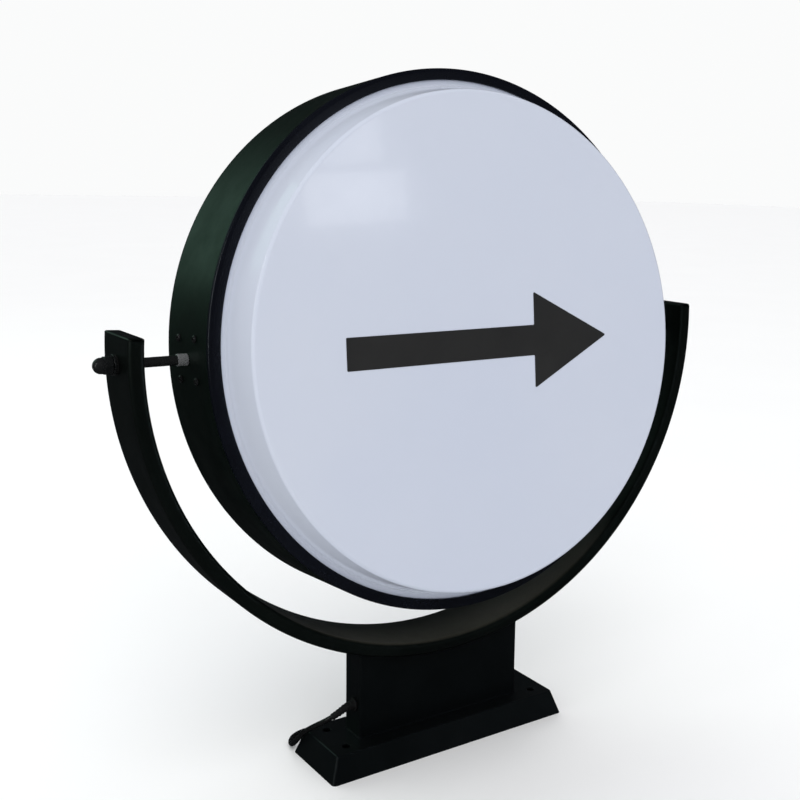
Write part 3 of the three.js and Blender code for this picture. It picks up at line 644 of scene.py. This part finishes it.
def add_yoke():
    hollow_edge, overrun = 0.003, 0.02  # the overrun is in radians
    outside = swept_half_ring(yoke_section(0, YOKE_EDGE), 0, 240)
    hollow = swept_half_ring(yoke_section(STEEL_WALL, hollow_edge), overrun, 160)
    reach = YOKE_OUTER + 5 * PAST
    axle_place = Matrix.Translation(AXLE - YOKE_CENTRE)
    axle = moved(rod(BUSH_HOLE, -reach, reach, 48), axle_place @ ALONG_X)
    slot_low, slot_high = -YOKE_OUTER - 2 * PAST, -YOKE_INNER - 2 * STEEL_WALL
    slot_left, slot_right, slot_half_width = 0.03, 0.072, 0.007
    slot = prism([
        (slot_left, slot_low), (slot_right, slot_low), (slot_right, slot_high), (slot_left, slot_high),
    ], -slot_half_width, slot_half_width)
    tips = [cutter for turn in SIDES.values() for cutter in tip_cutters(turn)]
    yoke = combined("yoke", "DIFFERENCE", outside, hollow, axle, slot, *tips)
    place = Matrix.Translation(YOKE_CENTRE)
    piece("yoke_tube", yoke, YOKE_PAINT, "stand", ["yoke"], place)
    middle = (YOKE_INNER + YOKE_OUTER) / 2
    half_depth = (YOKE_OUTER - YOKE_INNER) / 2
    outline = rectangle(half_depth, YOKE_HALF_WIDTH, YOKE_EDGE)
    for side, turn in SIDES.items():
        loops = []
        for z, inset in END_PLATE_LEVELS:
            scale_x = 1 - inset / half_depth
            scale_y = 1 - inset / YOKE_HALF_WIDTH
            loops.append([Vector((middle + x * scale_x, y * scale_y, z)) for x, y in outline])
        plate = moved(skin(loops, capped=True), turn @ Matrix.Rotation(-YOKE_END, 4, "Y"))
        cap = combined("end_plate", "DIFFERENCE", plate, *tip_cutters(turn))
        piece(
            f"yoke_end_plate_{side}", cap, SATIN, "stand",
            [f"yoke_end_cap_{side}"], place,
        )


def add_bushes():
    """A flanged bush in each skin of each arm."""
    bore, body, flange, edge = 0.0052, 0.007, 0.01, 0.0003
    into_arm = 0.003
    # Along X, where each bush's flange is seated, where the flange ends, and where the body ends.
    spans = {
        "outer": (YOKE_OUTER + 0.0001, YOKE_OUTER + 0.0018, YOKE_OUTER - into_arm),
        "inner": (YOKE_INNER - 0.0009, YOKE_INNER - 0.0024, YOKE_INNER + into_arm),
    }
    for side, turn in SIDES.items():
        for which, (seat, top, end) in spans.items():
            profile = rounded([
                (bore, end, 0), (body, end, edge), (body, seat, 0), (flange, seat, edge),
                (flange, top, edge), (bore, top, edge),
            ], 3)
            bush = moved(turned(profile, 64, ring=True), turn @ ALONG_X)
            piece(
                f"pivot_bush_{side}_{which}", bush, NYLON, "stand",
                [f"bush_{side}_{which}"], Matrix.Translation(AXLE),
            )


# ---- Mains lead ----

LEAD_RADIUS = 0.003
CORD_EXIT = Vector((-0.111, -0.004, 0.066))  # on the post's left face
CORD_FLOOR = 0.0032
# From inside the strain relief, over the base's left edge near its back, and along the floor.
CORD_ROUTE = [
    (-0.109, -0.004, 0.066), (-0.116, -0.004, 0.066), (-0.1225, -0.0043, 0.0649),
    (-0.1313, -0.0043, 0.0612), (-0.1394, -0.0016, 0.0562), (-0.1456, 0.005, 0.0502),
    (-0.1498, 0.014, 0.0435), (-0.153, 0.023, 0.0368), (-0.157, 0.031, 0.03),
    (-0.1602, 0.038, 0.0215), (-0.1615, 0.0455, 0.0128), (-0.161, 0.054, 0.0066),
    (-0.1585, 0.063, 0.0037), (-0.1525, 0.072, CORD_FLOOR), (-0.1435, 0.078, CORD_FLOOR),
    (-0.1295, 0.0803, CORD_FLOOR), (-0.107, 0.0748, CORD_FLOOR), (-0.078, 0.067, CORD_FLOOR),
    (-0.046, 0.062, CORD_FLOOR), (-0.015, 0.0596, CORD_FLOOR), (0.015, 0.0592, CORD_FLOOR),
    (0.047, 0.0592, CORD_FLOOR),
]
ROUTE_STEPS = 6  # points of the smooth line between two points of the route
COIL_CENTRE = Vector((0.07, 0.1))
COIL_RADIUS = 0.0348
COIL_STEP = 2 * LEAD_RADIUS + 0.00005  # from one turn to the next, across and up
COIL_LIFT = 0.0009  # the tie under the turns holds them off the floor
COIL_LANES = [(1, 0), (0, 0), (-1, 0), (-1, 1), (0, 1), (1, 1)]  # (across, up) for each turn
COIL_TURNS = 5.25
POINTS_A_TURN = 24
CROSSING = 0.26  # the share of a turn over which the lead steps over to the next one
PLUG_ENTRY = Vector((0.081, 0.128, 0.0207))
CLIMB_START = 2  # points before the end of the coil where the lead starts to rise to the plug
CLIMB_STEPS = 8


def smooth_line(points, steps):
    """A centripetal Catmull-Rom curve through points."""
    knots = [Vector(p) for p in points]
    knots = [2 * knots[0] - knots[1], *knots, 2 * knots[-1] - knots[-2]]
    line = []
    for i in range(1, len(knots) - 2):
        p0, p1, p2, p3 = knots[i - 1:i + 3]
        t1 = math.sqrt((p1 - p0).length)
        t2 = t1 + math.sqrt((p2 - p1).length)
        t3 = t2 + math.sqrt((p3 - p2).length)
        for k in range(steps):
            t = t1 + (t2 - t1) * k / steps
            a1 = p0.lerp(p1, t / t1)
            a2 = p1.lerp(p2, (t - t1) / (t2 - t1))
            a3 = p2.lerp(p3, (t - t2) / (t3 - t2))
            b1 = a1.lerp(a2, t / t2)
            b2 = a2.lerp(a3, (t - t1) / (t3 - t1))
            line.append(b1.lerp(b2, (t - t1) / (t2 - t1)))
    line.append(knots[-2])
    return line


def eased(t):
    t = min(max(t, 0.0), 1.0)
    return t * t * (3 - 2 * t)


def coil_points():
    """Three turns inward on the floor, then outward again on top of them."""
    points = []
    for i in range(1, round(COIL_TURNS * POINTS_A_TURN) + 1):
        turn, part = divmod(i / POINTS_A_TURN, 1)
        lane = COIL_LANES[int(turn)]
        after = COIL_LANES[min(int(turn) + 1, len(COIL_LANES) - 1)]
        share = eased((part - (1 - CROSSING)) / CROSSING)
        across = lane[0] + (after[0] - lane[0]) * share
        layer = lane[1] + (after[1] - lane[1]) * share
        angle = -math.pi / 2 + 2 * math.pi * i / POINTS_A_TURN
        radius = COIL_RADIUS + across * COIL_STEP
        lift = COIL_LIFT * eased(i / POINTS_A_TURN * 4)
        points.append(Vector((
            COIL_CENTRE.x + radius * math.cos(angle),
            COIL_CENTRE.y + radius * math.sin(angle),
            CORD_FLOOR + lift + layer * COIL_STEP,
        )))
    return points


def lead_points():
    """The whole centreline: the free route, the coil, and a quarter turn up to the plug."""
    coil = coil_points()
    top = coil[-1]
    reach = Vector((top.x - PLUG_ENTRY.x, PLUG_ENTRY.y - top.y))
    rise = PLUG_ENTRY.z - top.z
    steps = CLIMB_START + CLIMB_STEPS
    for k in range(CLIMB_START):
        coil[k - CLIMB_START].z += rise * eased((k + 1) / steps)
    for k in range(1, CLIMB_STEPS + 1):
        angle = math.pi / 2 * k / CLIMB_STEPS
        coil.append(Vector((
            PLUG_ENTRY.x + reach.x * math.cos(angle),
            top.y + reach.y * math.sin(angle),
            top.z + rise * eased((k + CLIMB_START) / steps),
        )))
    into_plug = PLUG_ENTRY - Vector((0.004, 0, 0))
    return smooth_line(CORD_ROUTE, ROUTE_STEPS) + smooth_line([*coil, into_plug], 2)


def add_cord():
    points = lead_points()
    data = bpy.data.curves.new("mains_lead", "CURVE")
    data.dimensions = "3D"
    spline = data.splines.new("POLY")
    spline.points.add(len(points) - 1)
    for knot, point in zip(spline.points, points):
        knot.co = (*point, 1)
    data.bevel_depth = LEAD_RADIUS
    data.bevel_resolution = 5
    data.use_fill_caps = True
    lead = bpy.data.objects.new("mains_lead", data)
    data.materials.append(SHEATH)
    bpy.context.scene.collection.objects.link(lead)
    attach(lead, "stand")
    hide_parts("power_cord", "power_cord_coil")
    return lead


def add_strain_relief():
    """A flanged boot that tapers along the lead, with grooves along most of its length."""
    flange, flange_depth, edge = 0.0078, 0.0025, 0.0007
    boot_length, boot_radius, taper = 0.028, 0.0051, 0.0013
    grooves, groove_depth, grooves_from, grooves_to = 7, 0.0004, 0.12, 0.9
    spigot, spigot_depth, seam = 0.006, 0.004, 0.0002
    neck = rounded([
        (0, spigot_depth, 0), (spigot, spigot_depth, 0), (spigot, -seam, 0), (flange, -seam, edge),
        (flange, -flange_depth, edge), (0.0058, -flange_depth, 0), (0.0052, -flange_depth - 0.001, 0),
        (0, -flange_depth - 0.001, 0),
    ], 3, closed=False)
    body = moved(turned(neck, 48), Matrix.Translation(CORD_EXIT) @ ALONG_X)
    line = smooth_line([CORD_EXIT - Vector((flange_depth, 0, 0)), *CORD_ROUTE[1:8]], 24)
    points, radii = [], []
    travelled = 0
    for here, after in zip(line, line[1:]):
        share = travelled / boot_length
        if share > 1:
            break
        points.append(here)
        grooved = grooves_from < share < grooves_to
        ripple = eased(math.sin(2 * math.pi * grooves * share) * 3)
        radii.append(boot_radius - taper * share - (groove_depth * ripple if grooved else 0))
        travelled += (after - here).length
    radii[-1] -= groove_depth
    boot = tube(points, radii, 32)
    piece(
        "strain_relief_boot", merged(body, boot), RUBBER, "stand",
        ["strain_relief"], sharp=50,
    )


PLUG_LOW, PLUG_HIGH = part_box("plug_body")


def add_plug():
    """A moulded two-pin plug that lies flat on the coil, with finger grips on its sides."""
    # Each station is (distance from the lead's end, half width, half depth).
    stations = [
        (0, 0.0046, 0.0044), (0.0035, 0.005, 0.0048), (0.007, 0.0072, 0.0056), (0.011, 0.0102, 0.0064),
        (0.0145, 0.0122, 0.0069),
    ]
    for k in range(3):
        ridge = 0.0175 + 0.0035 * k
        stations += [(ridge, 0.0127, 0.007), (ridge + 0.002, 0.0121, 0.0069)]
    stations += [
        (0.028, 0.013, 0.007), (0.0325, 0.013, 0.007), (0.035, 0.0126, 0.0066), (0.036, 0.0115, 0.0056),
    ]
    middle = (PLUG_LOW + PLUG_HIGH) / 2
    loops = []
    for along, half_width, half_depth in stations:
        outline = rectangle(half_width, half_depth, half_depth * 0.62, 5)
        loops.append([Vector((PLUG_HIGH.x - along, middle.y + u, middle.z + v)) for u, v in outline])
    body = piece(
        "plug_moulding", skin(loops, capped=True), RUBBER, "stand", ["plug_body"], sharp=50,
    )
    radius, length, edge = 0.002, 0.022, 0.0009
    outline = rounded([(0, 0, 0), (radius, 0, edge), (radius, length, 0), (0, length, 0)], 4, closed=False)
    pins = []
    for letter in "ab":
        node = f"plug_pin_{letter}"
        low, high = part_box(node)
        place = Matrix.Translation((low.x, (low.y + high.y) / 2, (low.z + high.z) / 2)) @ ALONG_X
        pin = moved(turned(outline, 32), place)
        pins.append(piece(f"plug_contact_{letter}", pin, NICKEL, "stand", [node]))
    return [body, *pins]


def add_tie():
    """A strap with its end lapped over, closed round the coil on the side away from the plug."""
    strap, width, corner = 0.0008, 0.009, 0.0034
    half_across = 1.5 * COIL_STEP + 0.0002
    low = CORD_FLOOR - LEAD_RADIUS + COIL_LIFT - strap
    high = CORD_FLOOR + COIL_LIFT + COIL_STEP + LEAD_RADIUS + strap
    middle = Vector((COIL_CENTRE.x - COIL_RADIUS, (low + high) / 2))
    half_height = (high - low) / 2
    loops = []
    for inset, y in ((0, -1), (0, 1), (strap, 1), (strap, -1)):
        outline = rectangle(half_across + strap - inset, half_height - inset, corner - inset, 6)
        across = COIL_CENTRE.y + y * width / 2
        loops.append([Vector((middle.x + u, across, middle.y + v)) for u, v in outline])
    band = skin(loops, joined=True)
    lap_left, lap_right, lap_top = middle.x - 0.0055, middle.x + 0.0045, high + 0.0007
    lap = prism([
        (lap_left, high), (lap_right, high), (lap_right, lap_top), (lap_left, lap_top),
    ], COIL_CENTRE.y - width / 2, COIL_CENTRE.y + width / 2, 0.0002)
    return piece("lead_tie", merged(band, lap), FABRIC, "stand")


# ---- Drum ----

RIM_HIGH = drum_box("rim_band")[1]
DRUM_RADIUS = RIM_HIGH.x
BEZEL_FRONT = -drum_box("front_bezel")[0].y
FILM_THICKNESS = 0.0004
PANEL_FRONT = -drum_box("front_face")[0].y - FILM_THICKNESS
FLANGE_RADIUS = 0.2954
WALL_FOOT_RADIUS = 0.281
WALL_TOP_RADIUS = 0.272
FOOT_FILLET = 0.003
CREST_RADIUS = 0.0043
RIM_WALL = 0.0015
DRUM_SEGMENTS = 288


def add_rim():
    edge, overlap = 0.0004, 0.0001
    inner = DRUM_RADIUS - RIM_WALL
    half = RIM_HIGH.y + overlap
    profile = rounded([
        (inner, -half, edge), (DRUM_RADIUS, -half, edge), (DRUM_RADIUS, half, edge), (inner, half, edge),
    ], 3)
    body = turned(profile, DRUM_SEGMENTS, ring=True)
    piece("drum_rim", body, RIM_PAINT, "drum", ["rim_band"], DRUM_PLACE)


def add_bezels():
    """A ring with a rounded outer edge and a skirt, whose lip goes inside the rim."""
    width, thickness, skirt_depth = 0.013, 0.002, 0.005
    lip_wall, lip_depth, lip_gap = 0.0018, 0.012, 0.0003
    edge, inner_edge, outer_edge = 0.0004, 0.0009, 0.0045
    front = -BEZEL_FRONT
    back = front + thickness
    skirt = front + skirt_depth
    lip_outer = DRUM_RADIUS - RIM_WALL - lip_gap
    lip_inner = lip_outer - lip_wall
    lip_end = back + lip_depth
    inner = DRUM_RADIUS - width
    profile = rounded([
        (inner, front, inner_edge), (DRUM_RADIUS, front, outer_edge), (DRUM_RADIUS, skirt, edge),
        (lip_outer, skirt, 0), (lip_outer, lip_end, edge), (lip_inner, lip_end, edge),
        (lip_inner, back, 0), (inner, back, edge),
    ], 6)
    for side, turn in FACINGS.items():
        ring = moved(turned(profile, DRUM_SEGMENTS, ring=True), turn)
        piece(f"{side}_bezel_ring", ring, GLOSS, "drum", [f"{side}_bezel"], DRUM_PLACE)


def face_outline(inset):
    """The formed sheet's section as (radius, y): flange, wall and raised panel."""
    behind_bezel = 0.0022  # from the bezel's front to the flange's
    flange_y = -BEZEL_FRONT + behind_bezel + inset
    panel_y = -PANEL_FRONT + inset
    return rounded([
        (FLANGE_RADIUS, flange_y, 0), (WALL_FOOT_RADIUS - inset, flange_y, FOOT_FILLET + inset),
        (WALL_TOP_RADIUS - inset, panel_y, CREST_RADIUS - inset), (0, panel_y, 0),
    ], 8, closed=False)


def arrow_outline():
    """A plain arrow that points right for someone who faces the drum."""
    tip, neck, tail, shaft, head = 0.172, 0.066, -0.172, 0.017, 0.054
    corner = 0.0012
    return rounded([
        (tip, 0, corner), (neck, head, corner), (neck, shaft, corner), (tail, shaft, corner),
        (tail, -shaft, corner), (neck, -shaft, corner), (neck, -head, corner),
    ], 3)


def add_faces():
    sheet_thickness = 0.003
    section = face_outline(0) + face_outline(sheet_thickness)[::-1]
    film = -PANEL_FRONT - FILM_THICKNESS
    for side, turn in FACINGS.items():
        sheet = moved(turned(section, DRUM_SEGMENTS), turn)
        bmesh.ops.bridge_loops(sheet, edges=[e for e in sheet.edges if e.is_boundary])
        bmesh.ops.recalc_face_normals(sheet, faces=sheet.faces)
        piece(f"{side}_acrylic_face", sheet, OPAL, "drum", [f"{side}_face"], DRUM_PLACE)
        arrow = moved(prism(arrow_outline(), film, -PANEL_FRONT, 0.0001, 1), turn)
        piece(f"{side}_arrow", arrow, FILM, "drum", [f"{side}_graphic"], DRUM_PLACE)


# ---- Pivots ----

ROD_RADIUS = 0.005
NUT_FLATS = 0.017
HEXAGON_HEIGHT = 0.008
DOME_RADIUS = 0.008
DOME_START = 0.002  # inside the hexagon
SCREW_SPACING = 0.042
SCREW_ANGLE = math.asin(SCREW_SPACING / 2 / DRUM_RADIUS)


def along_axle(node, side):
    """Where a CAD node starts and ends on its half of the axle, from the drum's middle."""
    low, high = drum_box(f"{node}_{side}")
    return (low.x, high.x) if side == "right" else (-high.x, -low.x)


def hexagon(y0, y1):
    """A hexagon nut's body round Y, with both ends chamfered by a cone."""
    chamfer_from, chamfer_angle = 0.97, math.radians(30)  # the first is a share of the flats' radius
    corner = NUT_FLATS / math.sqrt(3)
    angles = [math.pi / 3 * k for k in range(6)]
    loops = [[Vector((corner * math.cos(a), y, corner * math.sin(a))) for a in angles] for y in (y0, y1)]
    flat = NUT_FLATS / 2 * chamfer_from
    depth = (corner - flat) * math.tan(chamfer_angle)
    beyond = corner + 0.0001
    cone = turned([
        (0, y0), (flat, y0), (beyond, y0 + depth), (beyond, y1 - depth), (flat, y1), (0, y1),
    ], 96)
    return reopened(combined("hexagon", "INTERSECT", skin(loops, capped=True), cone))


def add_pivot_rods():
    bore, edge = 0.0035, 0.0006
    for side, turn in SIDES.items():
        x0, x1 = along_axle("pivot_rod", side)
        profile = rounded([
            (bore, x0, 0), (ROD_RADIUS, x0, edge), (ROD_RADIUS, x1, edge), (bore, x1, 0),
        ], 3)
        axle = moved(turned(profile, 64, ring=True), turn @ ALONG_X)
        piece(
            f"axle_rod_{side}", axle, BLACK_STEEL, "drum",
            [f"pivot_rod_{side}"], DRUM_PLACE,
        )


def add_pivot_rings():
    """A collar outside the rim and a washer outside the arm, on each rod."""
    clearance = 0.0001
    bore = ROD_RADIUS + clearance
    for side, turn in SIDES.items():
        for node, radius, edge, material, slot in (
            ("pivot_collar", 0.0062, 0.0007, ZINC, "bright_zinc"),
            ("arm_washer", 0.0105, 0.0005, BLACK_STEEL, "black_steel"),
        ):
            x0, x1 = along_axle(node, side)
            profile = rounded([
                (bore, x0, edge / 2), (radius, x0, edge), (radius, x1, edge), (bore, x1, edge / 2),
            ], 3)
            ring = moved(turned(profile, 64, ring=True), turn @ ALONG_X)
            piece(f"{node}_ring_{side}", ring, material, "drum", [f"{node}_{side}"], DRUM_PLACE)


def add_nuts():
    for side, turn in SIDES.items():
        x0, x1 = along_axle("cap_nut", side)
        dome = turned(rounded([
            (0, x0 + DOME_START, 0), (DOME_RADIUS, x0 + DOME_START, 0),
            (DOME_RADIUS, x1, DOME_RADIUS * 0.98), (0, x1, 0),
        ], 14, closed=False), 96)
        nut = combined("cap_nut", "UNION", hexagon(x0, x0 + HEXAGON_HEIGHT), dome)
        nut.transform(turn @ ALONG_X)
        piece(
            f"domed_nut_{side}", nut, BLACK_STEEL, "drum",
            [f"cap_nut_{side}"], DRUM_PLACE,
        )

        x0, x1 = along_axle("inner_nut", side)
        bore = rod(ROD_RADIUS, x0 - PAST, x1 + PAST, 48)
        nut = combined("inner_nut", "DIFFERENCE", hexagon(x0, x1), bore)
        nut.transform(turn @ ALONG_X)
        piece(f"lock_nut_{side}", nut, ZINC, "drum", [f"inner_nut_{side}"], DRUM_PLACE)


def pan_screw(head, height, recess):
    """A pan head screw along Y, seated at 0, with a cross recess; head is the head's radius."""
    shank = head / 2
    length, edge = 0.006, 0.0003
    profile = rounded([
        (0, -length, 0), (shank, -length, 0), (shank, 0, 0), (head, 0, edge),
        (head, height * 0.55, head * 0.3), (head * 0.6, height, head * 0.35), (0, height, 0),
    ], 4, closed=False)
    body = turned(profile, 40)
    slim, floor = recess * 0.26, height - recess * 0.6
    arms = []
    for turn in (0, math.pi / 2):
        outline = [(-recess, -slim), (recess, -slim), (recess, slim), (-recess, slim)]
        arms.append(moved(prism(outline, floor, height + PAST), Matrix.Rotation(turn, 4, "Y")))
    return combined("pan_screw", "DIFFERENCE", body, *arms)


def add_screws():
    """The four screws that hold each pivot plate, each turned to an angle of its own."""
    head, height, recess, lift = 0.004, 0.0025, 0.0022, 0.0001
    first_twist, next_twist = 0.5, 1.3
    seat = Matrix.Translation((DRUM_RADIUS + lift, 0, 0))
    for side, turn in SIDES.items():
        number = 1
        for angle in (-SCREW_ANGLE, SCREW_ANGLE):
            for y in (-SCREW_SPACING / 2, SCREW_SPACING / 2):
                twist = Matrix.Rotation(first_twist + number * next_twist, 4, "X")
                place = turn @ Matrix.Translation((0, y, 0)) @ Matrix.Rotation(angle, 4, "Y")
                screw = pan_screw(head, height, recess)
                screw.transform(place @ seat @ twist @ ALONG_X)
                piece(
                    f"plate_screw_{number}_{side}", screw, BLACK_STEEL, "drum",
                    [f"pivot_screw_{number}_{side}"], DRUM_PLACE,
                )
                number += 1


# ---- CAD pieces that stay ----


def finish_cad_nodes():
    """Gives each CAD node that still shows its own material."""
    finishes = {
        "pivot_plate": ZINC, "tray_bracket": ZINC, "led_tray": ALUMINIUM, "led_strip": BOARD,
        "led_driver": DRIVER, "drum_lead": SHEATH, "stand_lead": SHEATH,
    }
    for name, node in frame["nodes"].items():
        for part, material in finishes.items():
            if part in name:
                for slot in node.material_slots:
                    slot.link = "OBJECT"
                    slot.material = material


# ---- Floor, light and background ----

FLOOR_HALF_WIDTH = 30
SKY_ANGLE = math.radians(50)
# Each pane of the front window is (name, height, size, power).
FRONT_PANES = [("upper", 1.76, (0.36, 0.3), 0.55), ("lower", 1.4, (0.6, 0.3), 1.2)]
BACKDROP = (0.96, 0.965, 0.965)  # what the camera sees behind the floor
SOFT_LIGHT = (0.6, 0.605, 0.615)  # what lights matt surfaces from all round
MIRRORED = (0.022, 0.024, 0.026)  # the dim room that shiny surfaces mirror


def add_stage():
    bm = bmesh.new()
    bmesh.ops.create_grid(bm, x_segments=1, y_segments=1, size=FLOOR_HALF_WIDTH)
    floor = bpy.data.objects.new("floor", as_mesh("floor", bm))
    s = Surface("pale_floor", (0.9, 0.9, 0.9), 0.8)
    s.color(s.tint(s.noise(2, detail=2), (0.3, (0.895, 0.895, 0.895)), (0.7, (0.905, 0.905, 0.905))))
    floor.data.materials.append(s.material)
    bpy.context.scene.collection.objects.link(floor)
    floor.visible_glossy = False


def add_area(name, place, target, size, power, color):
    data = bpy.data.lights.new(name, "AREA")
    data.shape = "RECTANGLE"
    data.size, data.size_y = size
    data.energy = power
    data.color = color
    lamp = bpy.data.objects.new(name, data)
    lamp.location = place
    direction = Vector(target) - Vector(place)
    lamp.rotation_mode = "QUATERNION"
    lamp.rotation_quaternion = direction.to_track_quat("-Z", "Y")
    bpy.context.scene.collection.objects.link(lamp)
    return lamp


def add_world():
    """Soft light from all round, a pale backdrop, and a dim room in the reflections."""
    world = bpy.data.worlds.new("studio")
    world.use_nodes = True
    nodes, links = world.node_tree.nodes, world.node_tree.links
    room = nodes["Background"]
    room.inputs["Color"].default_value = (*SOFT_LIGHT, 1)
    chosen = room.outputs["Background"]
    rays = nodes.new("ShaderNodeLightPath")
    for ray, color in (("Is Camera Ray", BACKDROP), ("Is Glossy Ray", MIRRORED)):
        other = nodes.new("ShaderNodeBackground")
        other.inputs["Color"].default_value = (*color, 1)
        choice = nodes.new("ShaderNodeMixShader")
        links.new(rays.outputs[ray], choice.inputs["Fac"])
        links.new(chosen, choice.inputs[1])
        links.new(other.outputs["Background"], choice.inputs[2])
        chosen = choice.outputs["Shader"]
    links.new(chosen, nodes["World Output"].inputs["Surface"])
    bpy.context.scene.world = world


def add_sky(name, power, turn):
    """Wide soft daylight that the shiny surfaces don't mirror."""
    data = bpy.data.lights.new(name, "SUN")
    data.energy = power
    data.angle = SKY_ANGLE
    lamp = bpy.data.objects.new(name, data)
    lamp.rotation_euler = turn
    lamp.visible_glossy = False
    bpy.context.scene.collection.objects.link(lamp)


def add_lights():
    add_sky("front_sky", 1.25, (math.radians(38), math.radians(-22), 0))
    add_sky("top_sky", 0.34, (0, 0, 0))
    add_sky("rear_sky", 0.75, (math.radians(-50), math.radians(12), 0))
    add_area("left_window", (-3.1, -0.1, 1.3), AXLE, (0.16, 2.0), 9, (0.97, 1.0, 0.98))
    add_area("back_window", (-1.7, 3.1, 1.95), AXLE, (2.4, 2.2), 8, (0.6, 1.0, 0.8))
    for pane, height, size, power in FRONT_PANES:
        add_area(f"front_window_{pane}", (2.6, -4.95, height), AXLE, size, power, (0.95, 0.97, 1.0))
    add_world()
    bpy.context.scene.view_settings.view_transform = "Standard"


add_base()
add_post()
add_yoke()
add_bushes()
lead = add_cord()
add_strain_relief()
on_lead = [*add_plug(), add_tie()]
add_rim()
add_bezels()
add_faces()
add_pivot_rods()
add_pivot_rings()
add_nuts()
add_screws()
finish_cad_nodes()
add_stage()
add_lights()
